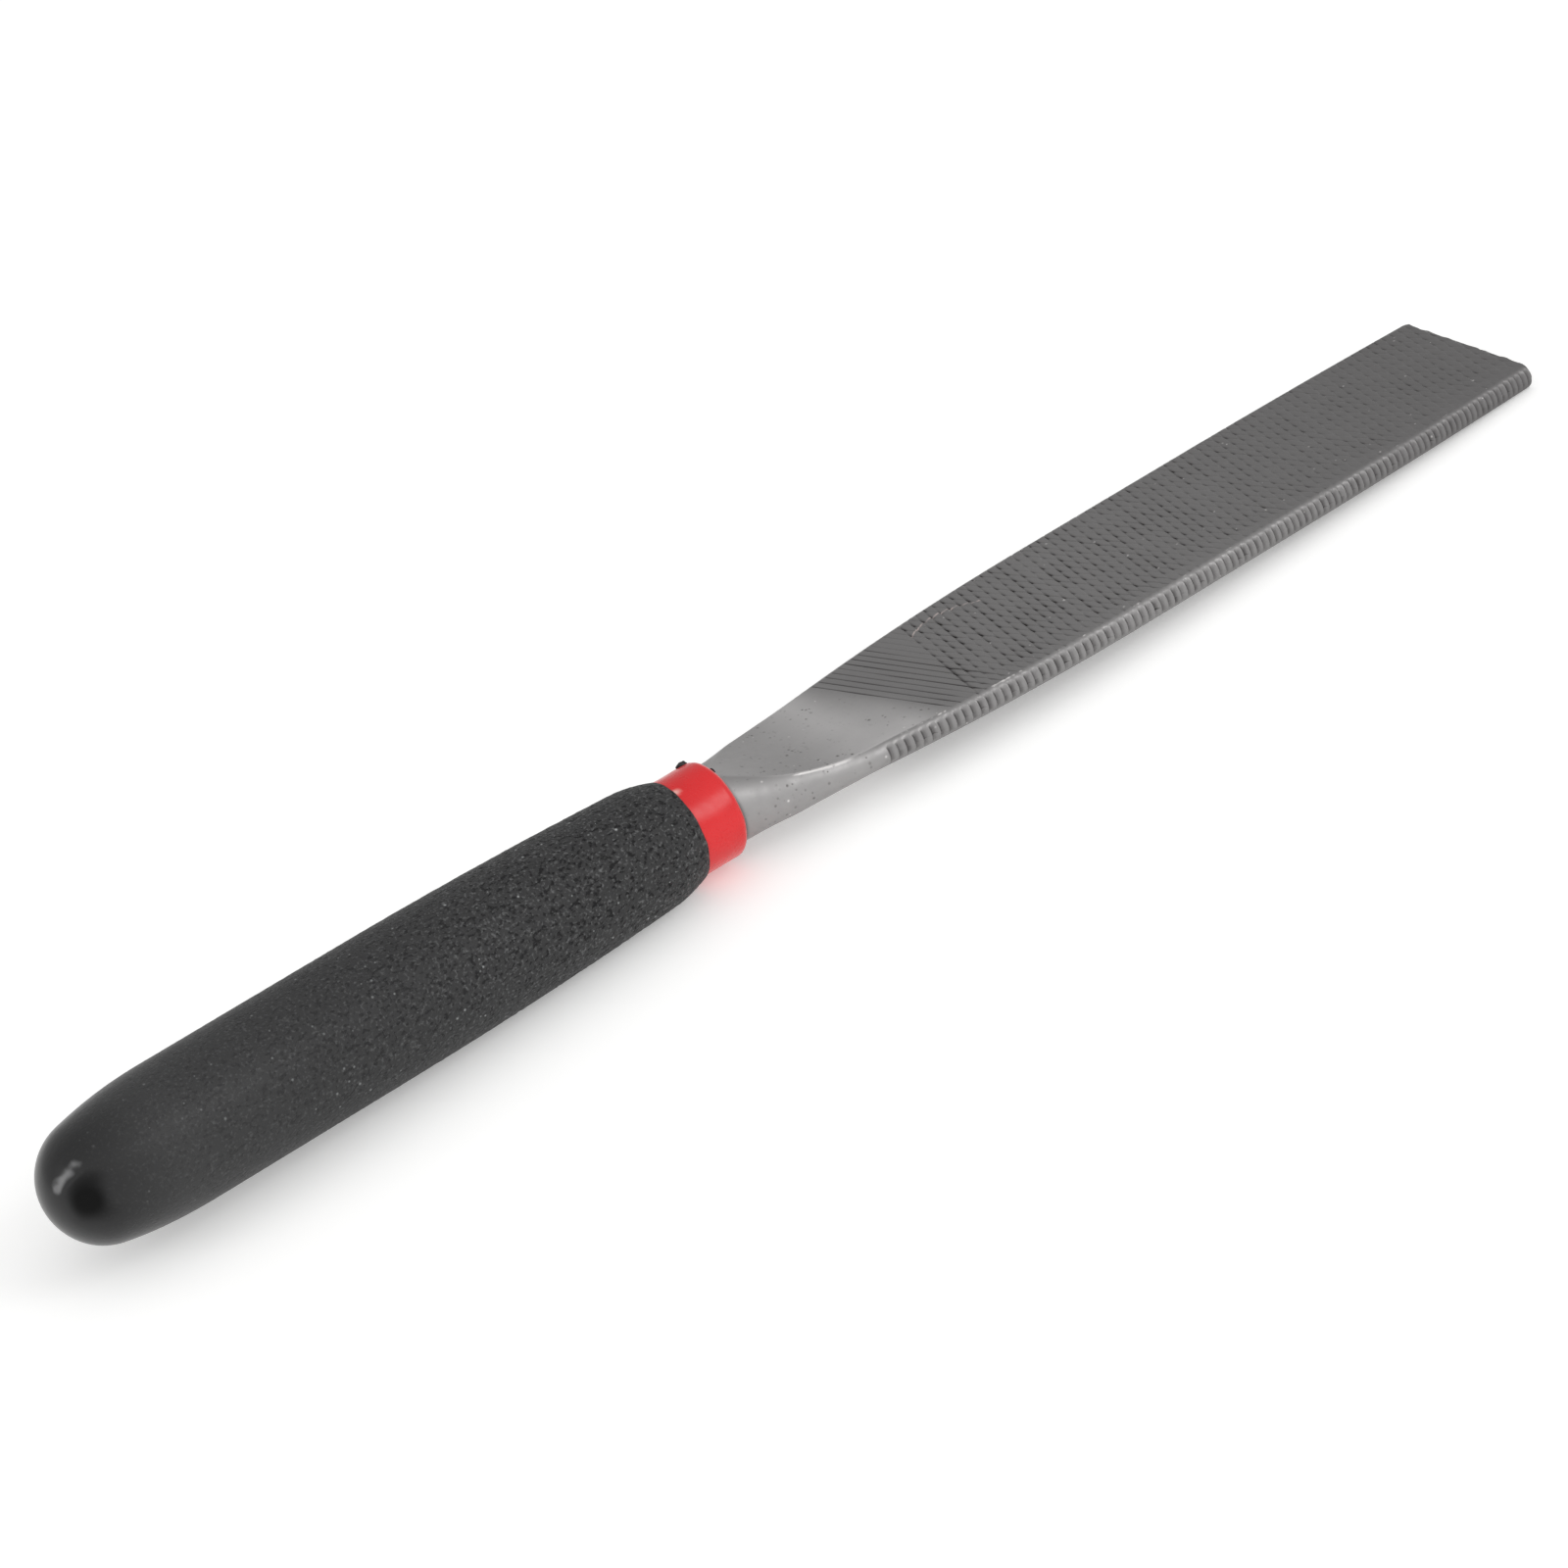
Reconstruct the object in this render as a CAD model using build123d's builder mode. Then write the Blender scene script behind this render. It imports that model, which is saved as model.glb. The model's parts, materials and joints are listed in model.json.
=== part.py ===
from build123d import *

import os
from math import atan, atan2, degrees, sqrt, tan

# A small flat hand file with a dipped handle, in millimetres.
#
# Three pieces: the steel file, forged and ground from one round bar that runs on into the handle as its
# tang; the inner sleeve dipped over the tang; and the foamed outer grip dipped over the sleeve.
#
# They are modelled in the tool's own frame: X runs along the tool's axis towards the tip, the blade's flats
# face +Z and -Z, and X = 0 is where the steel leaves the sleeve. At the end the three are laid down together
# as the file lies on a bench, on its grip and its tip.

# Lengths along the tool's axis
BLADE_REACH = 95.4  # steel outside the handle
COLLAR_WIDTH = 4.8  # stretch of the sleeve that the grip leaves bare
GRIP_LENGTH = 70.0
NECK_SEAT = 1.0  # how far inside the sleeve the round bar starts to flatten
NECK_REACH = 14.0  # where it has come down to the blade's thickness
FULL_WIDTH_FROM = 45.0
FULL_WIDTH_TO = 65.0

# Steel
BAR_RADIUS = 4.0  # the round bar that the file is made from, left round as its tang
BLADE_WIDTH = 20.0
BLADE_THICKNESS = 2.5
HEEL_WIDTH = 15.4  # where the neck ends
TIP_WIDTH = 18.8
NECK_SECTIONS = 6
LEAST_FLAT = 0.15  # flat left between two roundings that all but meet
TIP_BREAK = 0.2  # upper and lower edges of the end face
TANG_BREAK = 0.8

# Sleeve, the first dip
SLEEVE_WALL = 0.9
SLEEVE_LIP = 0.75  # rounding of the front edge
SLEEVE_END_COVER = 4.5  # sleeve beyond the end of the tang

# Grip, the second dip: its walls are measured from the sleeve's outside
BUTT_WALL = 1.8
DOME_WALL = 1.0  # side of the butt's round end
HIP_RADIUS = 42.0  # long rounding between that end and the belly
BELLY_WALL = 1.88
BELLY_FROM_FRONT = 34.0  # where the straight belly starts to taper
SHOULDER_FROM_FRONT = 4.2
SHOULDER_WALL = 1.05
FRONT_WALL = 0.12  # the feathered front edge

# What follows from them
sleeve_radius = BAR_RADIUS + SLEEVE_WALL
handle_length = GRIP_LENGTH + COLLAR_WIDTH
sleeve_end = BUTT_WALL - handle_length
tang_end = sleeve_end + SLEEVE_END_COVER
neck_length = NECK_SEAT + NECK_REACH
dome_radius = sleeve_radius + DOME_WALL
belly_radius = sleeve_radius + BELLY_WALL
hip_rise = HIP_RADIUS - belly_radius
hip_run = sqrt((HIP_RADIUS - dome_radius) ** 2 - hip_rise**2)
heel_flare = tan(2 * atan((BLADE_WIDTH - HEEL_WIDTH) / 2 / (FULL_WIDTH_FROM - NECK_REACH)))


def neck_section(x):
    """Width and thickness of the neck at x: round as the bar at its start, flat as the blade at its end."""
    left = (NECK_REACH - x) / neck_length
    thickness = BLADE_THICKNESS + (2 * BAR_RADIUS - BLADE_THICKNESS) * left**2
    straight_spread = 2 * heel_flare * neck_length
    curved_spread = HEEL_WIDTH - 2 * BAR_RADIUS - LEAST_FLAT - straight_spread
    width = HEEL_WIDTH - straight_spread * left - curved_spread * left**2
    return width, thickness


# The steel: blade, neck and tang in one piece
with BuildPart() as steel_file:
    # Blade: its outline at full thickness, swelling from the heel and easing in again towards the tip
    with BuildSketch(Plane.XY):
        with BuildLine():
            swell = TangentArc(
                (FULL_WIDTH_FROM, BLADE_WIDTH / 2), (NECK_REACH, HEEL_WIDTH / 2), tangent=(-1, 0)
            )
            Line(swell @ 0, (FULL_WIDTH_TO, BLADE_WIDTH / 2))
            ease = TangentArc(
                (FULL_WIDTH_TO, BLADE_WIDTH / 2), (BLADE_REACH, TIP_WIDTH / 2), tangent=(1, 0)
            )
            Polyline(ease @ 1, (BLADE_REACH, 0), (NECK_REACH, 0), swell @ 1)
        make_face()
        mirror(about=Plane.XZ)
    extrude(amount=BLADE_THICKNESS / 2, both=True)
    # The end is broken above and below, and then both long edges are rounded right over
    chamfer(steel_file.faces().sort_by(Axis.X)[-1].edges().filter_by(Axis.Y), length=TIP_BREAK)
    long_edges = steel_file.faces().filter_by(Axis.Z).edges().filter_by(Axis.Y, reverse=True)
    fillet(long_edges, radius=(BLADE_THICKNESS - LEAST_FLAT) / 2)

    # Neck: the bar pressed flat, starting inside the sleeve
    for step in range(NECK_SECTIONS):
        station = NECK_REACH - neck_length * step / (NECK_SECTIONS - 1)
        with BuildSketch(Plane.YZ.offset(station)):
            SlotOverall(*neck_section(station))
    loft()

    # Tang: the bar left round, its end broken
    with BuildSketch(Plane.YZ.offset(-NECK_SEAT)):
        Circle(BAR_RADIUS)
    extrude(amount=tang_end + NECK_SEAT)
    chamfer(steel_file.faces().sort_by(Axis.X)[0].edges(), length=TANG_BREAK)

# The sleeve: dipped over the tang, with a round end and a rounded front lip
with BuildPart() as inner_sleeve:
    with BuildSketch(Plane.XZ):
        with BuildLine():
            end_dome = JernArc((sleeve_end, 0), tangent=(0, 1), radius=sleeve_radius, arc_size=-90)
            Polyline(end_dome @ 1, (0, sleeve_radius), (0, 0), end_dome @ 0)
        make_face()
    revolve(axis=Axis.X)
    fillet(inner_sleeve.edges().sort_by(Axis.X)[-1], radius=SLEEVE_LIP)
    sleeve_outside = inner_sleeve.part
    add(steel_file.part, mode=Mode.SUBTRACT)

# The grip: dipped over the sleeve up to the collar, fullest at its belly, feathered out at its front
with BuildPart() as outer_grip:
    with BuildSketch(Plane.XZ):
        with BuildLine():
            # The hip's rounding runs on smoothly from the dome at one end and into the belly at the other
            dome = JernArc(
                (-handle_length, 0),
                tangent=(0, 1),
                radius=dome_radius,
                arc_size=-degrees(atan2(hip_rise, hip_run)),
            )
            hip = TangentArc(
                dome @ 1, (dome_radius + hip_run - handle_length, belly_radius), tangent=dome % 1
            )
            belly = Line(hip @ 1, (-COLLAR_WIDTH - BELLY_FROM_FRONT, belly_radius))
            taper = TangentArc(
                belly @ 1,
                (-COLLAR_WIDTH - SHOULDER_FROM_FRONT, sleeve_radius + SHOULDER_WALL),
                tangent=(1, 0),
            )
            feather = TangentArc(taper @ 1, (-COLLAR_WIDTH, sleeve_radius + FRONT_WALL), tangent=taper % 1)
            Polyline(feather @ 1, (-COLLAR_WIDTH, 0), dome @ 0)
        make_face()
    revolve(axis=Axis.X)
    add(sleeve_outside, mode=Mode.SUBTRACT)

# Laid down: the tool leans nose-down until its tip and its grip both touch the bench. The lean is the
# steepest line from the tip's lower edge to the grip's outline.
tip_edge = Vector(BLADE_REACH - TIP_BREAK, BLADE_THICKNESS / 2)
outline = [curve @ (i / 200) for curve in (hip, belly, taper, feather) for i in range(201)]
lean = max(degrees(atan2(point.Y - tip_edge.Y, tip_edge.X - point.X)) for point in outline)
pieces = (steel_file.part, inner_sleeve.part, outer_grip.part)
leaning = Compound([piece.moved(Location((0, 0, 0), (0, lean, 0))) for piece in pieces]).bounding_box()
lie = Location((-leaning.center().X, 0, -leaning.min.Z), (0, lean, 0))
for piece in pieces:
    piece.move(lie)

steel_file.part.label = "steel_file"
inner_sleeve.part.label = "inner_sleeve"
outer_grip.part.label = "outer_grip"

os.makedirs("parts", exist_ok=True)
export_step(steel_file.part, "parts/steel_file.step")
export_step(inner_sleeve.part, "parts/inner_sleeve.step")
export_step(outer_grip.part, "parts/outer_grip.step")

print(f"leans {lean:.4f} degrees; the neck starts at x {lie.position.X:.4f}, z {lie.position.Z:.4f}")
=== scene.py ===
import json
from bisect import bisect_right
from math import atan2, cos, hypot, pi, radians, sin, sqrt, tan

import bmesh
import bpy
from mathutils import Euler, Matrix, Vector, noise


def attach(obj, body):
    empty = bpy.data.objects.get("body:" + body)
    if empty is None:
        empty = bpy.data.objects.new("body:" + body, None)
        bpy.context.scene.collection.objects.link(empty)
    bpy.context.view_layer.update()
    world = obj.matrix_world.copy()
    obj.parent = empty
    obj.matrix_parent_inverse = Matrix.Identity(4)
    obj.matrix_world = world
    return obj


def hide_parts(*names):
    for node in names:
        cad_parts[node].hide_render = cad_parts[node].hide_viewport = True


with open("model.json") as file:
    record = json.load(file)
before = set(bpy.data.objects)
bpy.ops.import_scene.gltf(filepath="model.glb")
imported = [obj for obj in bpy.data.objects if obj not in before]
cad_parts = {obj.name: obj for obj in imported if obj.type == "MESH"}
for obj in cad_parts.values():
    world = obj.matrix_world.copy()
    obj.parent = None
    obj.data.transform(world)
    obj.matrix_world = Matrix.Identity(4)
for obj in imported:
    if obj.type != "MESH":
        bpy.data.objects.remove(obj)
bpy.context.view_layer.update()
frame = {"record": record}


# ---------------------------------------------------------------------------------------------------------
# The file itself: blade, neck and tang are one bar of tool steel. The neck is forged flat from the round
# bar, the faces are ground, and the teeth are chiselled in: a shallow overcut first, then the deeper upcut
# across it, and one row of cuts down each rounded edge.

# Every piece is modelled in millimetres along the tool's own axis, with X = 0 where the steel leaves the
# handle, and then laid down as the mounts on the blade say that the tool lies.
BLADE_REACH = 95.4
mounts = {mount["name"]: mount for mount in frame["record"]["mounts"]}
along = Vector(mounts["tip_face"]["axis"]).normalized()
upward = Vector(mounts["upper_face"]["axis"]).normalized()
across = upward.cross(along)
millimetre = 0.001
neck_root = Vector(mounts["tip_face"]["pos_m"]) - along * BLADE_REACH * millimetre
turn = Matrix((along, across, upward)).transposed().to_4x4()
lay_down = Matrix.Translation(neck_root) @ turn @ Matrix.Scale(millimetre, 4)

TANG_END = -68.5
TANG_BREAK = 0.8
TANG_RADIUS = 4.0
NECK_FROM = -1.0
NECK_TO = 14.0
WIDEST_FROM = 45.0
WIDEST_TO = 65.0
BLADE_WIDTH = 20.0
HEEL_WIDTH = 15.4
TIP_WIDTH = 18.8
THICKNESS = 2.5
TIP_BREAK = 0.2
TIP_CORNER = 0.7
LEAST_FLAT = 0.1
CREASE_NECK = radians(30)
CREASE_BLADE = radians(12)
CREASE_FORMS = (1.0, 6.0)  # where the neck's crease comes up out of the round bar
CREASE_EASES = (9.0, 16.0)  # and where it eases to the blade's

heel_flare = tan(2 * atan2((BLADE_WIDTH - HEEL_WIDTH) / 2, WIDEST_FROM - NECK_TO))


def ramp(x, start, end):
    """0 before start, 1 after end, and a smooth rise between."""
    t = min(max((x - start) / (end - start), 0.0), 1.0)
    return t * t * (3 - 2 * t)


def arc_drop(run, length, drop):
    """How far an arc has fallen after run, if it starts level and falls by drop over length."""
    radius = (length**2 + drop**2) / (2 * drop)
    return radius - sqrt(max(radius**2 - run**2, 0.0))


def steel_section(x):
    """Half width, half thickness and the slant at which the rounded edge leaves the flat, at x."""
    if x <= NECK_FROM:
        radius = TANG_RADIUS - TANG_BREAK * (1 - min((x - TANG_END) / TANG_BREAK, 1.0))
        return radius, radius - LEAST_FLAT / 2, 0.0
    if x < NECK_TO:
        neck = NECK_TO - NECK_FROM
        left = (NECK_TO - x) / neck
        half_thick = THICKNESS / 2 + (TANG_RADIUS - THICKNESS / 2) * left**2
        straight = 2 * heel_flare * neck
        curved = HEEL_WIDTH - 2 * TANG_RADIUS - LEAST_FLAT - straight
        half_wide = (HEEL_WIDTH - straight * left - curved * left**2) / 2
        slant = CREASE_NECK * ramp(x, *CREASE_FORMS)
        slant += (CREASE_BLADE - CREASE_NECK) * ramp(x, *CREASE_EASES)
        return half_wide, half_thick - LEAST_FLAT / 2 * ramp(left, 0.9, 1.0), slant
    half_wide = BLADE_WIDTH / 2
    if x < WIDEST_FROM:
        half_wide -= arc_drop(WIDEST_FROM - x, WIDEST_FROM - NECK_TO, (BLADE_WIDTH - HEEL_WIDTH) / 2)
    if x > WIDEST_TO:
        half_wide -= arc_drop(x - WIDEST_TO, BLADE_REACH - WIDEST_TO, (BLADE_WIDTH - TIP_WIDTH) / 2)
    half_wide -= arc_drop(max(x - BLADE_REACH + TIP_CORNER, 0.0), TIP_CORNER, TIP_CORNER)
    half_thick = THICKNESS / 2 - max(x - BLADE_REACH + TIP_BREAK, 0.0)
    slant = CREASE_NECK + (CREASE_BLADE - CREASE_NECK) * ramp(x, *CREASE_EASES)
    return half_wide, half_thick, slant


# Each row of teeth: where its first cut crosses the axis, its spacing there, its lean off square, positive
# where the cut runs towards the tip as it crosses to the far edge, and its depth
OVERCUT = {"first": 19.6, "pitch": 0.91, "lean": radians(-18.3), "depth": 0.08}
UPCUT = {"first": 27.0, "pitch": 1.025, "lean": radians(13.2), "depth": 0.15}
EDGE_FIRST = 14.6
EDGE_PITCH = (0.92, 0.68)  # at the heel and at the tip
EDGE_DEPTH = 0.26
EDGE_SPREAD = (radians(30), radians(58))  # where round the edge its cuts start, and where they are full
# One tooth as (share of its length, share of its depth): down the steep wall that faces the tip, a round
# bottom, a long back, and the worn land at the crest
TOOTH = ((0.0, 0.0), (0.22, 1.0), (0.45, 0.38), (0.86, 0.0), (1.0, 0.0))
EDGE_TOOTH = ((0.0, 0.0), (0.3, 1.0), (0.55, 0.75), (0.86, 0.1), (1.0, 0.0))
WANDER = 0.05  # how far a chisel blow strays, as a share of the spacing
FIRST_EDGE = 0.12  # how far before its first cut a row begins to disturb the ground face
ROUND_STEPS = 10  # divisions of each edge's rounding, from the flat to the middle of the edge
CUT_STEPS = 6  # how many of them the cuts on the flat run out over


def blow_places(first, last, pitch_at, seed):
    """Where each blow of the chisel lands, with the small stray of a cut made one by one."""
    places = [first]
    while places[-1] < last:
        pitch = pitch_at(places[-1])
        stray = WANDER * noise.noise(Vector((len(places) * 1.37, seed, 0.5)))
        places.append(places[-1] + pitch * (1 + stray))
    return places


def tooth_profile(places, tooth, at):
    """Depth of a row of teeth at a place, from 0 on the crest and land to 1 at the bottom."""
    index = bisect_right(places, at) - 1
    if index < 0 or index >= len(places) - 1:
        return 0.0, index
    phase = (at - places[index]) / (places[index + 1] - places[index])
    for (left, high), (right, low) in zip(tooth, tooth[1:]):
        if phase <= right:
            return high + (low - high) * (phase - left) / (right - left), index
    return 0.0, index


for row, seed in ((OVERCUT, 3.1), (UPCUT, 7.7)):
    row["square"] = Vector((cos(row["lean"]), -sin(row["lean"]), 0))
    farthest = BLADE_REACH * cos(row["lean"]) + BLADE_WIDTH / 2 * abs(sin(row["lean"]))
    spacing = row["pitch"] * cos(row["lean"])
    row["places"] = blow_places(row["first"] * cos(row["lean"]), farthest, lambda place: spacing, seed)

edge_places = blow_places(
    EDGE_FIRST,
    BLADE_REACH - 1.0,
    lambda x: EDGE_PITCH[0]
    + (EDGE_PITCH[1] - EDGE_PITCH[0]) * (x - EDGE_FIRST) / (BLADE_REACH - EDGE_FIRST),
    1.9,
)

# Lengthwise stations: the tang's end, the neck closely, four for each cut of the edges, and the tip
NECK_STEP = 0.5
TIP_STEPS = 6
stations = [TANG_END, TANG_END + TANG_BREAK, -50.0, -30.0, -12.0]
stations += [NECK_FROM + step * NECK_STEP for step in range(int((NECK_TO - NECK_FROM) / NECK_STEP) + 1)]
for start, end in zip(edge_places, edge_places[1:]):
    stations += [start + (end - start) * share for share, _ in EDGE_TOOTH[:-1]]
stations += [edge_places[-1]]
stations = [x for x in stations if x < BLADE_REACH - TIP_CORNER]
stations += [
    BLADE_REACH - TIP_CORNER * (1 - sin(pi / 2 * step / TIP_STEPS)) for step in range(TIP_STEPS + 1)
]

steel = bmesh.new()
columns = 2 * ROUND_STEPS + 1
bmesh.ops.create_grid(steel, x_segments=len(stations) - 1, y_segments=columns, size=1)
round_step = steel.verts.layers.int.new("round_step")
for vert in steel.verts:
    x = stations[round((vert.co.x + 1) / 2 * (len(stations) - 1))]
    column = round((vert.co.y + 1) / 2 * columns)
    side = 1 if column > ROUND_STEPS else -1
    step = column - ROUND_STEPS - 1 if side > 0 else ROUND_STEPS - column
    half_wide, half_thick, slant = steel_section(x)
    radius = half_thick / cos(slant)
    angle = slant + (pi / 2 - slant) * step / ROUND_STEPS
    vert.co = (x, side * (half_wide - radius + radius * sin(angle)), radius * cos(angle))
    vert[round_step] = step
# Each flat ends in a crease
for edge in steel.edges:
    if edge.verts[0][round_step] == edge.verts[1][round_step] == 0:
        edge.smooth = edge.verts[0].co.y * edge.verts[1].co.y < 0

# The flat of the toothed blade becomes one face, and then each blow of the chisel cuts across it
BLEND = 1.0  # room left on either side of the first cut
tooth_start = OVERCUT["first"] - BLADE_WIDTH / 2 * tan(abs(OVERCUT["lean"])) - BLEND
tooth_full = OVERCUT["first"] + BLADE_WIDTH / 2 * tan(abs(OVERCUT["lean"])) + BLEND
crosswise = [
    edge
    for edge in steel.edges
    if edge.verts[0].co.y * edge.verts[1].co.y < 0
    and edge.verts[0][round_step] == edge.verts[1][round_step] == 0
    and tooth_full < edge.verts[0].co.x < BLADE_REACH - TIP_CORNER
]
bmesh.ops.dissolve_edges(steel, edges=crosswise)
faces = [
    face
    for face in steel.faces
    if max(v[round_step] for v in face.verts) <= CUT_STEPS
    and max(v.co.x for v in face.verts) > tooth_start
]
cut_region = list({e for f in faces for e in (*f.verts, *f.edges)}) + faces
for row in (OVERCUT, UPCUT):
    lines = [row["places"][0] - FIRST_EDGE]
    for start, end in zip(row["places"], row["places"][1:]):
        lines += [start + (end - start) * share for share, _ in TOOTH[:-1]]
    for line in lines:
        cut_region = bmesh.ops.bisect_plane(
            steel,
            geom=cut_region,
            dist=1e-5,
            plane_co=row["square"] * line,
            plane_no=row["square"],
        )["geom"]

# How dull the worked steel looks, where 0 is ground bright. Each span is from and to along the tool
NECK_DULL = 0.43
NECK_GROUND = (7.0, 15.0)  # the grinding of the neck's flat takes its dullness away
FLAT_DULL = 0.833
FLAT_CUT = (15.5, 21.0)
FLAT_CUT_SLANT = 0.33  # the overcuts start later on the near side
EDGE_DULL = 0.587
EDGE_CUT_DULL = 0.18
EDGE_CUT = (11.5, 16.5)
FLAT_TIP_DULL = 0.14
FLAT_TIP = (40, 92)
EDGE_TIP_DULL = 0.233
EDGE_TIP = (45, 92)
ROOT_CORNER_DARK = 0.55  # darker in the corner where the steel leaves the sleeve
ROOT_CORNER_DARK_SPAN = (0.0, 0.5)

BURR_HEIGHT = 0.06  # thrown up where the ground face meets the edge
BURR_WIDTH = 0.2
BURR_GLINT_FROM = (14, 18)
BURR_GLINT_EASES = (40, 70)  # where its painted glints fall to half their brightness
# Where the painted highlight along the neck's forged crease rises and where it fades
CREASE_HIGHLIGHT_FROM = (5.0, 6.5)
CREASE_HIGHLIGHT_TO = (10.5, 12.5)

SCRATCH_FROM = 28.4
SCRATCH_TO = 36.5
SCRATCH_SIDE = 5.8  # how far it starts from the axis
SCRATCH_SLOPE = 0.196
SCRATCH_BEND = 0.09
SCRATCH_LEVEL = 33.5  # where the bend is back on the slope's straight line
SCRATCH_BAND = 1.5

TIP_WEAR = 0.35  # the cuts fade towards the tip, where the file is worn
TIP_WEAR_SPAN = (35, 90)
WEAR_SPREAD = 0.3
NEAR_WEAR = 0.6  # and at the near edge
FLAT_BLOW = 0.4  # how unequal the chisel's blows are
EDGE_BLOW = 0.5
JOINED = 0.28  # share of an upcut's depth that runs through between the overcuts
FIRST_JOINED = 0.32  # more of it along the near half of the first one
OVERCUT_SHADE = 0.44  # shade of an overcut beside that of an upcut
OVERCUT_ALONE = 0.36  # more where no upcut crosses it
OVERCUT_NEAR = 0.12
UPCUT_SLANT = 0.23
FLAT_SHADE = 0.78
FLAT_SHADE_TIP = 0.14
EDGE_SHADE = 0.52
TIP_RAGGED = 0.24  # the sheared end is uneven
# A painted highlight along the rim of the sheared end
TIP_HIGHLIGHT = 0.6

dirt_and_shade = steel.verts.layers.float.new("dirt_and_shade")
toothed = steel.verts.layers.float.new("toothed")
painted_highlight = steel.verts.layers.float.new("painted_highlight")
scratch_gap = steel.verts.layers.float.new("scratch_gap")
scratch_near = steel.verts.layers.float.new("scratch_near")
for vert in steel.verts:
    x, y, z = vert.co
    half_wide, half_thick, slant = steel_section(x)
    round_radius = half_thick / cos(slant)
    around = atan2(abs(y) - half_wide + round_radius, max(z, 0.0))
    border = half_wide - round_radius * (1 - sin(slant))
    # A painted highlight on the crease between flat and edge: a steady line along the neck's forged crease,
    # and broken glints along the burr of the ground blade
    ridge = max(1 - abs(abs(y) - border - BURR_WIDTH) / BURR_WIDTH, 0.0)
    crease_highlight = ramp(x, *CREASE_HIGHLIGHT_FROM) * (1 - ramp(x, *CREASE_HIGHLIGHT_TO))
    burr = max(noise.noise(Vector((x * 0.6, y, 2))) + 0.6 * noise.noise(Vector((x * 2.3, y, 5))), 0.0)
    burr_glints = (1.6 - 0.8 * ramp(x, *BURR_GLINT_EASES)) * burr * ramp(x, *BURR_GLINT_FROM)
    vert[painted_highlight] = ridge * max(crease_highlight, burr_glints)
    if abs(y) > border + 0.1:
        vert[toothed] = EDGE_DULL + EDGE_CUT_DULL * ramp(x, *EDGE_CUT) + EDGE_TIP_DULL * ramp(x, *EDGE_TIP)
    else:
        cut_dull = FLAT_DULL * ramp(x + y * FLAT_CUT_SLANT, *FLAT_CUT)
        vert[toothed] = cut_dull + FLAT_TIP_DULL * ramp(x, *FLAT_TIP)
        vert[toothed] += NECK_DULL * (1 - ramp(x, *NECK_GROUND))
    # How far it lies from the long scratch, a shallow arc across the face
    run = x - SCRATCH_FROM
    scratch_y = SCRATCH_SIDE + SCRATCH_SLOPE * run - SCRATCH_BEND * run * (x - SCRATCH_LEVEL)
    vert[scratch_gap] = y - scratch_y
    vert[scratch_near] = float(SCRATCH_FROM < x < SCRATCH_TO and abs(y - scratch_y) < SCRATCH_BAND)
    if x < EDGE_FIRST - 0.01:
        vert[dirt_and_shade] = ROOT_CORNER_DARK * (1 - ramp(x, *ROOT_CORNER_DARK_SPAN))
        continue
    worn = 1 - TIP_WEAR * ramp(x, *TIP_WEAR_SPAN) + WEAR_SPREAD * noise.noise(Vector((x, y, 0)) * 0.25)
    worn *= 1 - NEAR_WEAR * ramp(-y, border - 2.5, border - 0.3)
    shares = []
    flat_depth = 0.0
    for row in (OVERCUT, UPCUT):
        share, index = tooth_profile(row["places"], TOOTH, vert.co.dot(row["square"]))
        blow = 1 + FLAT_BLOW * noise.noise(Vector((index * 0.9, y * 0.2, row["depth"] * 40)))
        shares.append(share * blow)
        flat_depth += row["depth"] * share * blow * worn
    # Where the two rows cross the cut is deepest; the first upcut runs together along its near half
    joined = JOINED + FIRST_JOINED * ramp(-y, -1.5, 3.0) * (index == 0)
    notch = shares[1] * (joined + (1 - joined) * shares[0]) * (worn + 0.1)
    overcut_shade = OVERCUT_SHADE + OVERCUT_ALONE * (x + y * UPCUT_SLANT < UPCUT["first"])
    overcut_shade += OVERCUT_NEAR * ramp(-y, border - 4, border - 1)
    notch = max(notch, overcut_shade * shares[0]) * (FLAT_SHADE - FLAT_SHADE_TIP * ramp(x, 35, 92))
    edge_share, index = tooth_profile(edge_places, EDGE_TOOTH, x)
    blow = 1 + EDGE_BLOW * noise.noise(Vector((index * 1.7, 11 if y > 0 else 4, 0)))
    edge_cut = edge_share * blow * ramp(around, *EDGE_SPREAD)
    on_flat = half_thick > 0.9 * THICKNESS / 2 and abs(y) < half_wide - round_radius * 0.3
    new_z = min(z, half_thick - flat_depth) if on_flat else z
    # How dark the cuts are: painted shade in their bottoms and where the rows cross, together with dirt
    # settled there
    vert[dirt_and_shade] = max(notch * ramp(z - new_z, 0.0, 0.06), EDGE_SHADE * edge_cut)
    new_z += BURR_HEIGHT * min(burr, 0.5) * ridge
    new_y = abs(y) - EDGE_DEPTH * edge_cut * sin(around)
    new_z -= EDGE_DEPTH * edge_cut * cos(around)
    ragged = TIP_RAGGED * ramp(x, BLADE_REACH - 0.5, BLADE_REACH)
    wave = noise.noise(Vector((3, y * 0.8, 0))) + 0.5 * noise.noise(Vector((8, y * 2.1, 0)))
    vert.co.x -= ragged * max(0.5 + wave, 0.0)
    # A painted highlight along the rim of the sheared end
    vert[painted_highlight] = max(vert[painted_highlight], TIP_HIGHLIGHT * ramp(x, BLADE_REACH - 0.3, BLADE_REACH - 0.1))
    vert.co.y = new_y if y > 0 else -new_y
    vert.co.z = new_z

# The lower half is the upper one turned over, with its scratch
lower = bmesh.ops.duplicate(steel, geom=steel.verts[:] + steel.edges[:] + steel.faces[:])["geom"]
bmesh.ops.rotate(
    steel,
    verts=[element for element in lower if isinstance(element, bmesh.types.BMVert)],
    matrix=Matrix.Rotation(pi, 3, "X"),
)
bmesh.ops.remove_doubles(steel, verts=steel.verts, dist=0.0005)
bmesh.ops.holes_fill(steel, edges=[edge for edge in steel.edges if edge.is_boundary], sides=0)


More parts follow.
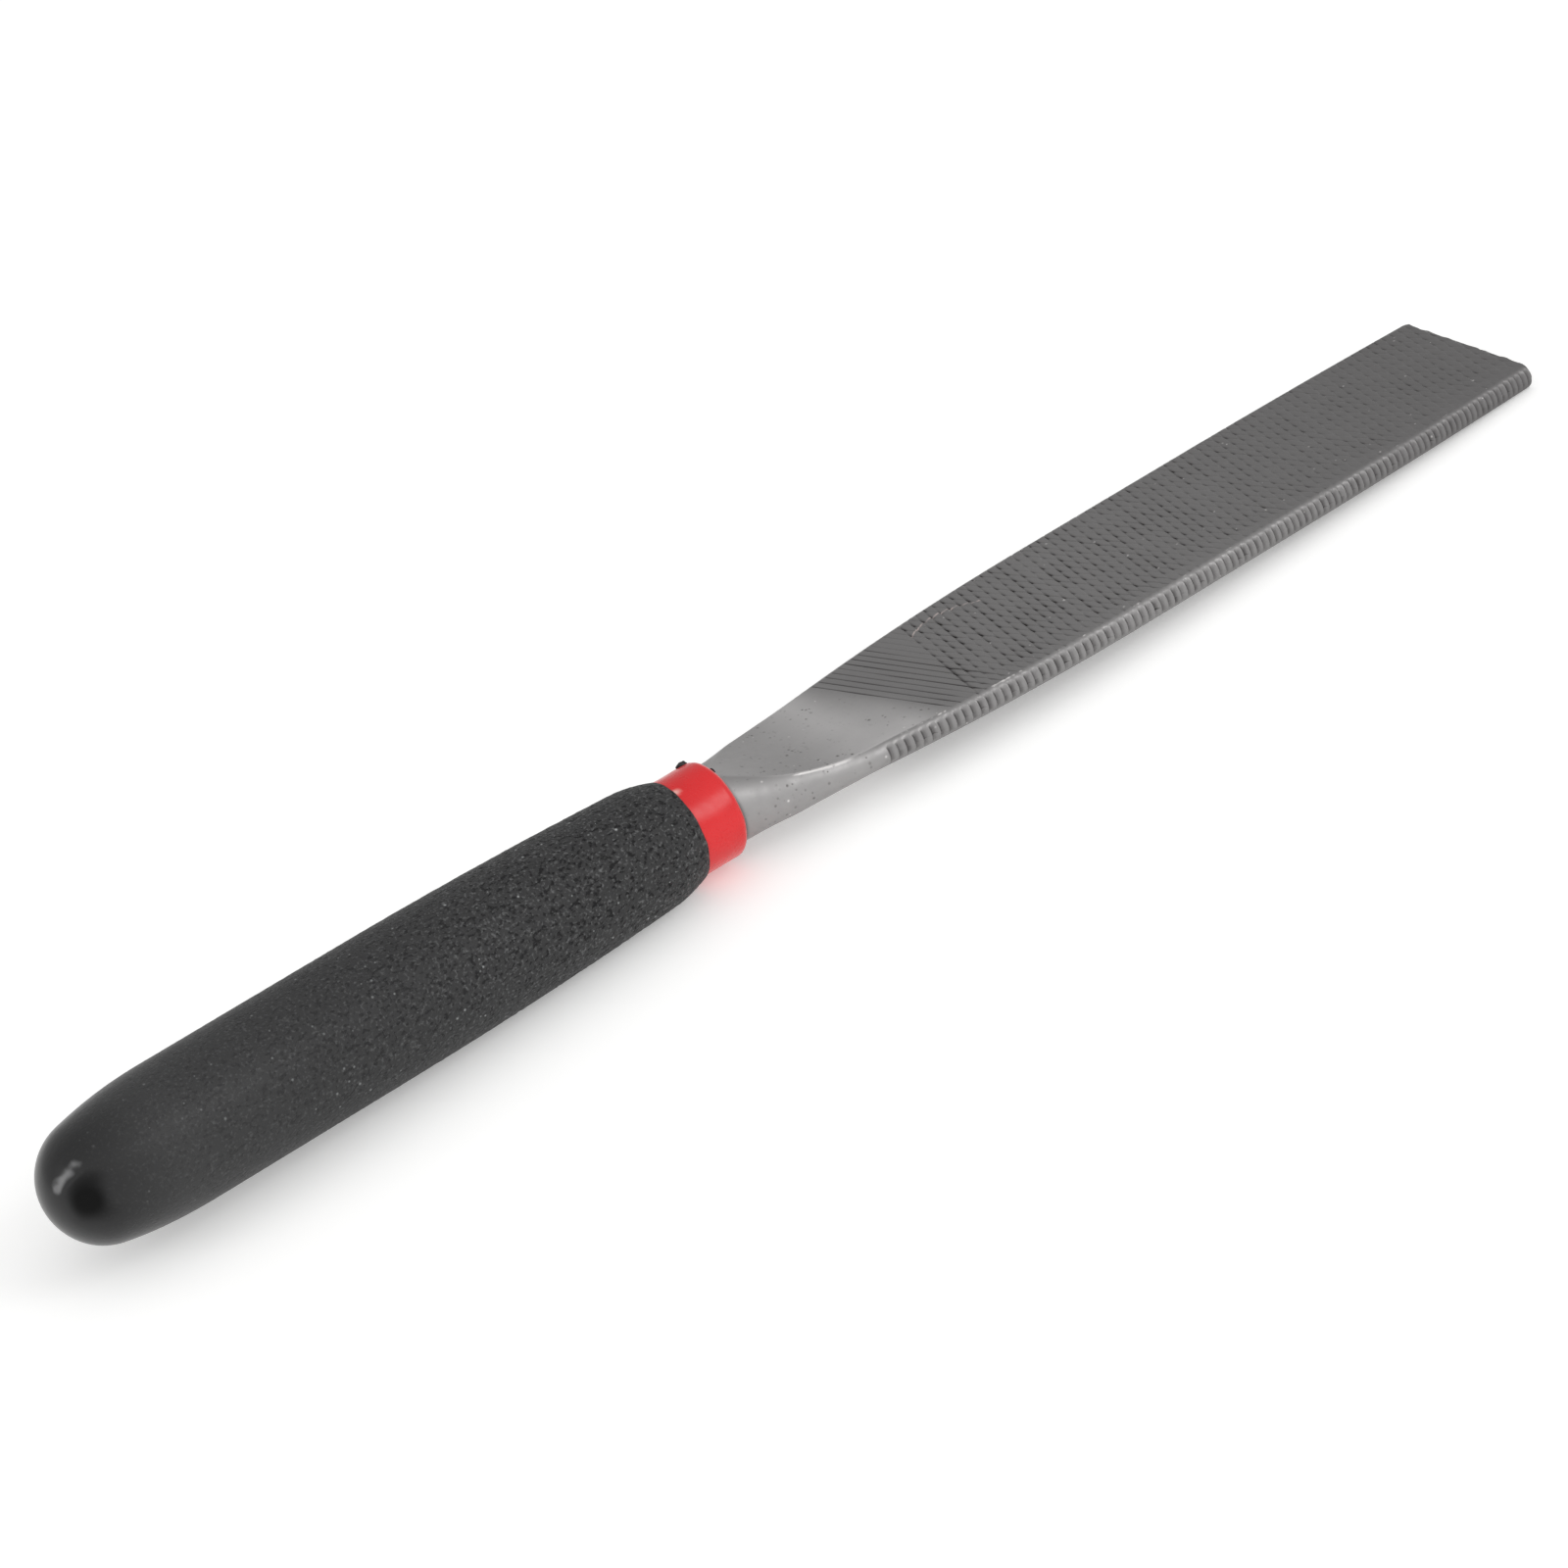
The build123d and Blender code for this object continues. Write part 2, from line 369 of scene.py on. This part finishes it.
def finish_mesh(shape, name, sharp_from):
    """Lays a shape down with the tool and makes it a shaded piece, creased where it turns sharply."""
    for edge in shape.edges:
        edge.smooth = edge.smooth and edge.calc_face_angle(pi) < radians(sharp_from)
    for face in shape.faces:
        face.smooth = True
    bmesh.ops.transform(shape, matrix=lay_down, verts=shape.verts)
    mesh = bpy.data.meshes.new(name)
    shape.to_mesh(mesh)
    shape.free()
    piece = bpy.data.objects.new(name, mesh)
    bpy.context.scene.collection.objects.link(piece)
    return piece


def bare_finish(name, colour, roughness, metallic):
    """A new material with its Principled shader, ready for its colour, roughness and bump to be built on."""
    material = bpy.data.materials.new(name)
    material.use_nodes = True
    shader = material.node_tree.nodes["Principled BSDF"]
    shader.inputs["Base Color"].default_value = (*colour, 1)
    shader.inputs["Roughness"].default_value = roughness
    shader.inputs["Metallic"].default_value = metallic
    return material, material.node_tree, shader


def add_node(tree, kind, **values):
    """Adds a node to a tree and sets its properties, or its input sockets where the name is a socket's."""
    node = tree.nodes.new("ShaderNode" + kind)
    for name, value in values.items():
        if hasattr(node, name):
            setattr(node, name, value)
        else:
            node.inputs[name.replace("_", " ")].default_value = value
    return node


def blend_colour(tree, share, first, second):
    """Mixes two colours, each a socket or three numbers, by a share that is a socket."""
    mix = tree.nodes.new("ShaderNodeMix")
    mix.data_type = "RGBA"
    tree.links.new(share, mix.inputs["Factor"])
    for socket, colour in ((mix.inputs["A"], first), (mix.inputs["B"], second)):
        if isinstance(colour, bpy.types.NodeSocket):
            tree.links.new(colour, socket)
        else:
            socket.default_value = (*colour, 1)
    return mix.outputs["Result"]


def remap(tree, value, low, high, to_low=0.0, to_high=1.0):
    """Maps a socket's value from one span to another, smoothly and clamped."""
    node = add_node(tree, "MapRange", interpolation_type="SMOOTHSTEP")
    tree.links.new(value, node.inputs["Value"])
    for name, number in (
        ("From Min", low), ("From Max", high), ("To Min", to_low), ("To Max", to_high)
    ):
        node.inputs[name].default_value = number
    return node.outputs["Result"]


def product(tree, first, second):
    """Multiplies two sockets, or a socket and a number."""
    node = add_node(tree, "Math", operation="MULTIPLY")
    for socket, value in zip(node.inputs, (first, second)):
        if isinstance(value, bpy.types.NodeSocket):
            tree.links.new(value, socket)
        else:
            socket.default_value = value
    return node.outputs["Value"]


# Scattered specks, used for the steel's pits and painted glints and for the pores and glints of the foamed
# grip:
# round spots of a given size, of which only a share of the cells has one
specks = bpy.data.node_groups.new("specks", "ShaderNodeTree")
for name, kind, default in (
    ("Scale", "NodeSocketFloat", 1000.0),
    ("Share", "NodeSocketFloat", 0.2),
    ("Size", "NodeSocketFloat", 0.3),
):
    specks.interface.new_socket(name, in_out="INPUT", socket_type=kind).default_value = default
specks.interface.new_socket("Mask", in_out="OUTPUT", socket_type="NodeSocketFloat")
group_in = specks.nodes.new("NodeGroupInput")
group_out = specks.nodes.new("NodeGroupOutput")
place = add_node(specks, "TexCoord")
cells = add_node(specks, "TexVoronoi")
specks.links.new(place.outputs["Object"], cells.inputs["Vector"])
specks.links.new(group_in.outputs["Scale"], cells.inputs["Scale"])
lot = add_node(specks, "SeparateColor")
specks.links.new(cells.outputs["Color"], lot.inputs["Color"])
drawn = add_node(specks, "Math", operation="LESS_THAN")
specks.links.new(lot.outputs["Red"], drawn.inputs[0])
specks.links.new(group_in.outputs["Share"], drawn.inputs[1])
# A spot's size differs from cell to cell
spread = add_node(specks, "Math", operation="MULTIPLY")
specks.links.new(lot.outputs["Green"], spread.inputs[0])
specks.links.new(group_in.outputs["Size"], spread.inputs[1])
spot = add_node(specks, "MapRange", interpolation_type="SMOOTHSTEP")
specks.links.new(cells.outputs["Distance"], spot.inputs["Value"])
specks.links.new(spread.outputs["Value"], spot.inputs["From Max"])
spot.inputs["From Min"].default_value = 0.0
spot.inputs["To Min"].default_value = 1.0
spot.inputs["To Max"].default_value = 0.0
kept = add_node(specks, "Math", operation="MULTIPLY")
specks.links.new(drawn.outputs["Value"], kept.inputs[0])
specks.links.new(spot.outputs["Result"], kept.inputs[1])
specks.links.new(kept.outputs["Value"], group_out.inputs["Mask"])


def scatter(tree, scale, share, size):
    """Places the specks group in a material and gives its mask."""
    node = tree.nodes.new("ShaderNodeGroup")
    node.node_tree = specks
    node.inputs["Scale"].default_value = scale
    node.inputs["Share"].default_value = share
    node.inputs["Size"].default_value = size
    return node.outputs["Mask"]


def grain(tree, scale, detail=3.0, stretch=(1, 1, 1)):
    """Noise over the piece, in cells per metre, longer along the tool where stretched."""
    place = add_node(tree, "TexCoord")
    mapping = add_node(tree, "Mapping", Scale=stretch)
    cloud = add_node(tree, "TexNoise", Scale=scale, Detail=detail)
    tree.links.new(place.outputs["Object"], mapping.inputs["Vector"])
    tree.links.new(mapping.outputs["Vector"], cloud.inputs["Vector"])
    return cloud.outputs["Fac"]


def emboss(tree, shader, heights):
    """Chains bumps of (height socket, distance in metres, strength) into a shader's normal."""
    normal = None
    for height, distance, strength in heights:
        bump = add_node(tree, "Bump", Distance=distance, Strength=strength)
        tree.links.new(height, bump.inputs["Height"])
        if normal:
            tree.links.new(normal, bump.inputs["Normal"])
        normal = bump.outputs["Normal"]
    tree.links.new(normal, shader.inputs["Normal"])


GROUND_STEEL = (0.60, 0.588, 0.585)
TOOTHED_STEEL = (0.198, 0.193, 0.193)
GROOVE_DIRT_AND_SHADE = (0.026, 0.022, 0.022)
SCRATCH_PALE = (0.62, 0.54, 0.52)
PIT_GREY = (0.16, 0.155, 0.15)
HIGHLIGHT_WHITE = (0.75, 0.73, 0.72)

file_steel, tree, shader = bare_finish("file_steel", GROUND_STEEL, 0.42, 1.0)
dirt_and_shade_share = add_node(tree, "Attribute", attribute_name="dirt_and_shade").outputs["Fac"]
toothed_share = add_node(tree, "Attribute", attribute_name="toothed").outputs["Fac"]
highlight_share = add_node(tree, "Attribute", attribute_name="painted_highlight").outputs["Fac"]
mottle = remap(tree, grain(tree, 160, 4, (0.6, 1, 1)), 0.25, 0.75)
steel_tone = blend_colour(tree, mottle, [tone * 0.9 for tone in GROUND_STEEL], GROUND_STEEL)
steel_tone = blend_colour(tree, toothed_share, steel_tone, TOOTHED_STEEL)
patch = remap(tree, grain(tree, 260, 2), 0.40, 0.60, 0.15, 1.0)
bare_part = remap(tree, toothed_share, 0.6, 0.8, 1.0, 0.08)
pits = product(tree, product(tree, scatter(tree, 2300, 0.5, 0.62), bare_part), patch)
steel_tone = blend_colour(tree, pits, steel_tone, PIT_GREY)
# Painted glints scattered over the steel
painted_glints = scatter(tree, 1800, 0.045, 0.4)
steel_tone = blend_colour(tree, painted_glints, steel_tone, HIGHLIGHT_WHITE)
# Darker in the cuts, partly painted shade and partly dirt, and in the corner at the sleeve
steel_tone = blend_colour(tree, remap(tree, dirt_and_shade_share, 0.12, 0.9), steel_tone, GROOVE_DIRT_AND_SHADE)
scratch_side = add_node(tree, "Attribute", attribute_name="scratch_gap").outputs["Fac"]
scratch_distance = add_node(tree, "Math", operation="ABSOLUTE")
tree.links.new(scratch_side, scratch_distance.inputs[0])
scratched = remap(tree, scratch_distance.outputs["Value"], 0.16, 0.04)
scratched = product(tree, scratched, remap(tree, grain(tree, 1500, 2), 0.42, 0.6, 0.3, 0.95))
scratch_part = add_node(tree, "Attribute", attribute_name="scratch_near").outputs["Fac"]
scratched = product(tree, scratched, remap(tree, scratch_part, 0.3, 0.9))
steel_tone = blend_colour(tree, scratched, steel_tone, SCRATCH_PALE)
# Painted highlights on the crease, the burr's glints and the rim of the sheared end
steel_tone = blend_colour(tree, remap(tree, highlight_share, 0.2, 0.9), steel_tone, HIGHLIGHT_WHITE)
tree.links.new(steel_tone, shader.inputs["Base Color"])
rough = remap(tree, grain(tree, 900, 3), 0.3, 0.7, 0.44, 0.56)
tree.links.new(rough, shader.inputs["Roughness"])
emboss(
    tree,
    shader,
    [
        (grain(tree, 6000, 3), 0.00002, 0.35),
        (grain(tree, 900, 3, (0.25, 1, 1)), 0.00002, 0.3),
        (pits, -0.00006, 0.6),
    ],
)

steel_piece = finish_mesh(steel, "file_steel_body", 24)
steel_piece.data.materials.append(file_steel)
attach(steel_piece, "root")
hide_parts("steel_file")


# ---------------------------------------------------------------------------------------------------------
# The inner sleeve: the handle's first dip, a smooth satin red vinyl skin that clings to the tang. Its
# front end shows as the collar, with a soft rounded lip round the steel.

HANDLE_LENGTH = 74.8
COLLAR_WIDTH = 4.8
SLEEVE_RADIUS = 4.9
SLEEVE_END = -73.0
SLEEVE_LIP = 0.75
SLEEVE_BORE = 3.45  # a little inside the steel, so that the skin clings to it all round
SLEEVE_BORE_END = -69.5
TURN_STEPS = 144
GLINT_ALONG = -4.55  # a pale painted glint where the black begins
GLINT_ROUND = radians(108)
GLINT_REACH = 0.5
GLINT_STRENGTH = 1.3
LIP_HIGHLIGHT = 0.22


def arc_points(start, heading, ends, most):
    """Points of an outline of arcs, each leaving the last along its heading and meeting its end."""
    points = [Vector(start)]
    for end in ends:
        run = Vector(end) - points[-1]
        half_turn = atan2(run.y, run.x) - heading
        origin = points[-1]
        count = max(round(run.length / most), 4)
        for step in range(1, count + 1):
            share = step / count
            reach = share if abs(half_turn) < 1e-6 else sin(share * half_turn) / sin(half_turn)
            angle = heading + share * half_turn
            points.append(origin + Vector((cos(angle), sin(angle))) * run.length * reach)
        heading += 2 * half_turn
    return points


def spin_outline(outline, steps):
    """Spins a closed outline of (along the axis, radius) points round the tool's axis."""
    shape = bmesh.new()
    corners = [shape.verts.new((point[0], 0, point[1])) for point in outline]
    lines = [shape.edges.new(pair) for pair in zip(corners, corners[1:])]
    bmesh.ops.spin(
        shape, geom=corners + lines, cent=(0, 0, 0), axis=(1, 0, 0), angle=2 * pi, steps=steps,
        use_merge=True,
    )
    bmesh.ops.remove_doubles(shape, verts=shape.verts, dist=0.002)
    bmesh.ops.recalc_face_normals(shape, faces=shape.faces)
    return shape


sleeve_outline = arc_points((SLEEVE_END, 0), pi / 2, [(SLEEVE_END + SLEEVE_RADIUS, SLEEVE_RADIUS)], 0.6)
sleeve_outline += [Vector((x, SLEEVE_RADIUS)) for x in (-60, -40, -20, -8)]
sleeve_outline += [Vector((-6 + step * 0.35, SLEEVE_RADIUS)) for step in range(15)]
sleeve_outline += arc_points((-SLEEVE_LIP, SLEEVE_RADIUS), 0, [(0, SLEEVE_RADIUS - SLEEVE_LIP)], 0.12)
sleeve_outline += [Vector(point) for point in ((-0.05, SLEEVE_BORE), (-1.5, SLEEVE_BORE))]
sleeve_outline += [Vector(point) for point in ((SLEEVE_BORE_END, SLEEVE_BORE), (SLEEVE_BORE_END, 0))]
sleeve = spin_outline(sleeve_outline, TURN_STEPS)
red_highlight = sleeve.verts.layers.float.new("red_highlight")
glint_spot = Vector((GLINT_ALONG, SLEEVE_RADIUS * cos(GLINT_ROUND), SLEEVE_RADIUS * sin(GLINT_ROUND)))
for vert in sleeve.verts:
    # The lip gets a pale painted highlight, like the glint where the black begins
    glint_share = GLINT_STRENGTH * (1 - (vert.co - glint_spot).length / GLINT_REACH)
    vert[red_highlight] = max(glint_share, LIP_HIGHLIGHT * ramp(vert.co.x, -0.4, -0.1), 0.0)
    radius = hypot(vert.co.y, vert.co.z)
    if radius > SLEEVE_RADIUS - SLEEVE_LIP:
        swell = 0.05 * noise.noise(vert.co * 0.35) - 0.02
        vert.co.yz *= 1 + swell / radius
        vert.co.x += 0.06 * noise.noise(vert.co * 0.6) * ramp(vert.co.x, -2, 0)

RED_DIP = (0.66, 0.012, 0.015)
RED_DEEP = (0.60, 0.007, 0.010)
RED_HIGHLIGHT_PALE = (0.80, 0.42, 0.38)
RED_SHEEN = (1.0, 0.78, 0.76)

red_dip, tree, shader = bare_finish("red_dip", RED_DIP, 0.32, 0.0)
shader.inputs["Specular IOR Level"].default_value = 0.45
shader.inputs["Sheen Weight"].default_value = 0.12
shader.inputs["Sheen Roughness"].default_value = 0.35
shader.inputs["Sheen Tint"].default_value = (*RED_SHEEN, 1)
flow = remap(tree, grain(tree, 180, 2), 0.35, 0.65)
dip_tone = blend_colour(tree, flow, RED_DEEP, RED_DIP)
red_highlight_share = add_node(tree, "Attribute", attribute_name="red_highlight").outputs["Fac"]
# Pale painted highlights on the lip and where the black begins
dip_tone = blend_colour(tree, red_highlight_share, dip_tone, RED_HIGHLIGHT_PALE)
tree.links.new(dip_tone, shader.inputs["Base Color"])
tree.links.new(remap(tree, grain(tree, 1200, 2), 0.3, 0.7, 0.24, 0.32), shader.inputs["Roughness"])
emboss(tree, shader, [(grain(tree, 260, 2), 0.00006, 0.4), (grain(tree, 2500, 2), 0.00001, 0.4)])

sleeve_piece = finish_mesh(sleeve, "sleeve_skin", 50)
sleeve_piece.data.materials.append(red_dip)
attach(sleeve_piece, "root")
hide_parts("inner_sleeve")


# ---------------------------------------------------------------------------------------------------------
# The outer grip: the second dip, a black foamed vinyl that swells to a full belly. Its skin is coarse and
# porous behind the collar, and closes to a smooth satin film at the butt, which left the bath last.

DOME_RADIUS = 5.9
HIP_RADIUS = 42.0
BELLY_RADIUS = 6.78
BELLY_FROM = -38.8
SHOULDER = (-9.0, 5.95)
FEATHER_RADIUS = 5.02
GRIP_BORE = 4.8
GRIP_STEP = 0.27  # spacing of the skin's mesh
PORE_DEPTH = 0.09
BUTT_BULGE = 0.15  # the dip hung fuller on the lower near side of the butt
DENT = Vector((-72.4, -4.4, 1.3))  # a shallow dent beside the butt's end, where the last drip drew back, painted dark as a reflection
DENT_REACH = 3.9
DENT_DEPTH = 0.34
FOLD_FROM = Vector((-73.94, -1.71, 2.55))  # and the fold that it left above, with a painted highlight along it
FOLD_TO = Vector((-72.1, -2.7, 4.2))
FOLD_REACH = 1.0
FOLD_HEIGHT = 0.08

hip_rise = HIP_RADIUS - BELLY_RADIUS
hip_run = sqrt((HIP_RADIUS - DOME_RADIUS) ** 2 - hip_rise**2)
dome_turn = atan2(hip_rise, hip_run)
dome_centre = DOME_RADIUS - HANDLE_LENGTH
grip_outline = arc_points(
    (-HANDLE_LENGTH, 0),
    pi / 2,
    [
        (dome_centre - DOME_RADIUS * cos(dome_turn), DOME_RADIUS * sin(dome_turn)),
        (dome_centre + hip_run, BELLY_RADIUS),
        (BELLY_FROM, BELLY_RADIUS),
        SHOULDER,
        (-COLLAR_WIDTH, FEATHER_RADIUS),
    ],
    GRIP_STEP,
)
grip_outline += [Vector((-COLLAR_WIDTH - 0.05, GRIP_BORE)), Vector((SLEEVE_END + 5, GRIP_BORE))]
grip_outline += [Vector((SLEEVE_END + 0.3, 0))]
grip = spin_outline(grip_outline, round(2 * pi * BELLY_RADIUS / GRIP_STEP))
coarse = grip.verts.layers.float.new("coarse")
dent_shade_fold_highlight = grip.verts.layers.float.new("dent_shade_fold_highlight")
butt_side = Vector((0, -1, -1)).normalized()
fold_axis = FOLD_TO - FOLD_FROM
for vert in grip.verts:
    x = vert.co.x
    coarseness = 0.35 + 0.65 * ramp(x, -60, -12)
    coarseness *= ramp(x, -76, -58)
    vert[coarse] = coarseness
    radius = hypot(vert.co.y, vert.co.z)
    if radius < GRIP_BORE + 0.01 and x > dome_centre:
        continue
    outward = Vector((0, vert.co.y, vert.co.z)) / max(radius, 1.0)
    lump = noise.noise(vert.co * 1.6) * 0.6 + noise.noise(vert.co * 3.1) * 0.7
    pore = max(noise.noise(vert.co * 2.3 + Vector((9, 4, 1))) - 0.05, 0)
    sink = PORE_DEPTH * (coarseness * (0.35 - 0.5 * lump + pore) + 0.04)
    bulge = BUTT_BULGE * max(outward.dot(butt_side), 0) * (1 - ramp(x, -71, -62)) * ramp(radius, 1, 5)
    dent_gap = (vert.co - DENT).length * (1 + 0.5 * noise.noise(vert.co * 0.45))
    dent = max(1 - dent_gap / DENT_REACH, 0.0) ** 1.5
    fold_share = min(max((vert.co - FOLD_FROM).dot(fold_axis) / fold_axis.length_squared, 0.0), 1.0)
    fold_gap = (vert.co - FOLD_FROM - fold_axis * fold_share).length
    fold = max(1 - fold_gap / FOLD_REACH, 0.0) * (0.74 + 0.75 * noise.noise(vert.co * 1.3))
    # Share of painted dark reflection in the dent, and of painted highlight along the fold where negative
    vert[dent_shade_fold_highlight] = 0.8 * dent - fold
    dent = DENT_DEPTH * dent - FOLD_HEIGHT * fold
    vert.co += outward * (bulge - max(sink, 0) - dent)
    vert.co.x += 0.12 * noise.noise(Vector((0, vert.co.y, vert.co.z)) * 0.5) * ramp(x, -6.5, -COLLAR_WIDTH)

FOAM_BLACK = (0.038, 0.038, 0.0385)
FILM_BLACK = (0.0145, 0.0145, 0.015)
FOLD_HIGHLIGHT = (0.15, 0.15, 0.152)
PORE_BLACK = (0.011, 0.011, 0.0115)
DENT_DARK_REFLECTION = (0.002, 0.002, 0.002)
FOAM_GREY = (0.125, 0.126, 0.127)
GLINT = (0.38, 0.39, 0.39)

black_foam, tree, shader = bare_finish("black_foam", FOAM_BLACK, 0.6, 0.0)
shader.inputs["Specular IOR Level"].default_value = 0.1
shader.inputs["Coat Roughness"].default_value = 0.3
shader.inputs["Sheen Weight"].default_value = 0.06
shader.inputs["Sheen Roughness"].default_value = 0.4
coarse_share = add_node(tree, "Attribute", attribute_name="coarse").outputs["Fac"]
crumb = grain(tree, 3500, 4)
foam_tone = blend_colour(tree, remap(tree, coarse_share, 0.05, 0.3), FILM_BLACK, FOAM_BLACK)
foam_tone = blend_colour(
    tree, product(tree, remap(tree, crumb, 0.5, 0.75), coarse_share), foam_tone, FOAM_GREY
)
pores = product(tree, remap(tree, grain(tree, 2900, 4, (0.7, 1, 1)), 0.47, 0.34), coarse_share)
foam_tone = blend_colour(tree, pores, foam_tone, PORE_BLACK)
glints = product(tree, scatter(tree, 2100, 0.07, 0.45), coarse_share)
foam_tone = blend_colour(tree, glints, foam_tone, GLINT)
drawn = add_node(tree, "Attribute", attribute_name="dent_shade_fold_highlight").outputs["Fac"]
# A painted dark reflection in the dent, and a painted highlight along the fold
foam_tone = blend_colour(tree, remap(tree, drawn, 0.1, 0.6), foam_tone, DENT_DARK_REFLECTION)
foam_tone = blend_colour(tree, remap(tree, drawn, -0.15, -0.7), foam_tone, FOLD_HIGHLIGHT)
tree.links.new(foam_tone, shader.inputs["Base Color"])
tree.links.new(remap(tree, coarse_share, 0.0, 0.5, 0.3, 0.68), shader.inputs["Roughness"])
film_gloss = remap(tree, coarse_share, 0.0, 0.5, 0.4, 0.05)
film_gloss = product(tree, film_gloss, remap(tree, drawn, 0.05, 0.55, 1.0, 0.0))
tree.links.new(film_gloss, shader.inputs["Coat Weight"])
emboss(
    tree,
    shader,
    [
        (product(tree, crumb, coarse_share), 0.00018, 1.0),
        (product(tree, pores, -1.0), 0.00015, 0.8),
        (grain(tree, 350, 2), 0.00008, 0.25),
    ],
)

grip_piece = finish_mesh(grip, "grip_skin", 60)
grip_piece.data.materials.append(black_foam)
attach(grip_piece, "root")
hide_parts("outer_grip")


# ---------------------------------------------------------------------------------------------------------
# Two crumbs of the black dip that splashed on to the collar's lip and set there.

CRUMBS = (
    {"along": -1.0, "round": 60, "out": 4.92, "size": (0.6, 0.4, 0.3)},
    {"along": 0.02, "round": 103, "out": 4.4, "size": (0.11, 0.34, 0.13)},
)
for number, place in enumerate(CRUMBS):
    crumb_shape = bmesh.new()
    bmesh.ops.create_icosphere(crumb_shape, subdivisions=4, radius=1)
    for vert in crumb_shape.verts:
        vert.co *= 1 + 0.35 * noise.noise(vert.co * 1.4 + Vector((number * 5, 0, 0)))
    bmesh.ops.scale(crumb_shape, verts=crumb_shape.verts, vec=place["size"])
    seat = Matrix.Rotation(radians(place["round"] - 90), 4, "X")
    seat = seat @ Matrix.Translation((place["along"], 0, place["out"]))
    bmesh.ops.transform(crumb_shape, matrix=seat, verts=crumb_shape.verts)
    set_share = crumb_shape.verts.layers.float.new("coarse")
    for vert in crumb_shape.verts:
        vert[set_share] = 0.5
    crumb_piece = finish_mesh(crumb_shape, f"dip_crumb_{number + 1}", 60)
    crumb_piece.data.materials.append(black_foam)
    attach(crumb_piece, "root")


# ---------------------------------------------------------------------------------------------------------
# The bench and the studio: pale paper under the tool, a bright even room, one soft panel in front and one
# at the left.

FLOOR_SIZE = 6.0
FLOOR_COLOUR = (0.86, 0.86, 0.855)
FLOOR_GLOW = 0.32  # the paper glows a little, so that shadows stay soft

floor_shape = bmesh.new()
bmesh.ops.create_grid(floor_shape, x_segments=1, y_segments=1, size=FLOOR_SIZE / 2)
floor_mesh = bpy.data.meshes.new("floor")
floor_shape.to_mesh(floor_mesh)
floor_shape.free()
floor = bpy.data.objects.new("floor", floor_mesh)
bpy.context.scene.collection.objects.link(floor)
floor_finish, tree, shader = bare_finish("floor_paper", FLOOR_COLOUR, 0.9, 0.0)
shader.inputs["Specular IOR Level"].default_value = 0.1
shader.inputs["Emission Color"].default_value = (*FLOOR_COLOUR, 1)
shader.inputs["Emission Strength"].default_value = FLOOR_GLOW
floor_mesh.materials.append(floor_finish)

ROOM_FRONT = 1.0  # brightness of the room in front of the bench and behind it
ROOM_BACK = 0.6
ROOM_FADE = 0.5  # how far to the front and to the back the change from one to the other reaches

room = bpy.data.worlds.new("studio")
room.use_nodes = True
walls = room.node_tree
direction = walls.nodes.new("ShaderNodeTexCoord")
split = walls.nodes.new("ShaderNodeSeparateXYZ")
fade = walls.nodes.new("ShaderNodeMapRange")
walls.links.new(direction.outputs["Generated"], split.inputs["Vector"])
walls.links.new(split.outputs["Y"], fade.inputs["Value"])
for name, number in (
    ("From Min", -ROOM_FADE), ("From Max", ROOM_FADE), ("To Min", ROOM_FRONT), ("To Max", ROOM_BACK)
):
    fade.inputs[name].default_value = number
walls.links.new(fade.outputs["Result"], walls.nodes["Background"].inputs["Strength"])
walls.nodes["Background"].inputs["Color"].default_value = (1, 1, 1, 1)
bpy.context.scene.world = room


def soft_light(name, toward, distance, size, watts):
    """A soft oblong panel of light, at a distance from the tool's middle in a direction, facing it."""
    lamp = bpy.data.lights.new(name, "AREA")
    lamp.shape = "RECTANGLE"
    lamp.size, lamp.size_y = size
    lamp.energy = watts
    light = bpy.data.objects.new(name, lamp)
    direction = Vector(toward).normalized()
    light.location = direction * distance
    light.rotation_euler = direction.to_track_quat("Z", "Y").to_euler()
    bpy.context.scene.collection.objects.link(light)


soft_light("front_panel", (0.42, -0.66, 0.58), 1.1, (0.5, 0.5), 2.2)
soft_light("left_panel", (-1.0, 0.15, 0.45), 1.0, (0.35, 0.5), 1.2)

camera_data = bpy.data.cameras.new("camera")
camera_data.lens = 146.29
camera_data.sensor_width = 36.0
camera = bpy.data.objects.new("camera", camera_data)
camera.location = (-0.246947, -0.440040, 0.307057)
camera.rotation_euler = Euler([radians(angle) for angle in (57.6869, 14.9268, -38.2686)])
bpy.context.scene.collection.objects.link(camera)
bpy.context.scene.camera = camera
bpy.context.scene.view_settings.view_transform = "Standard"
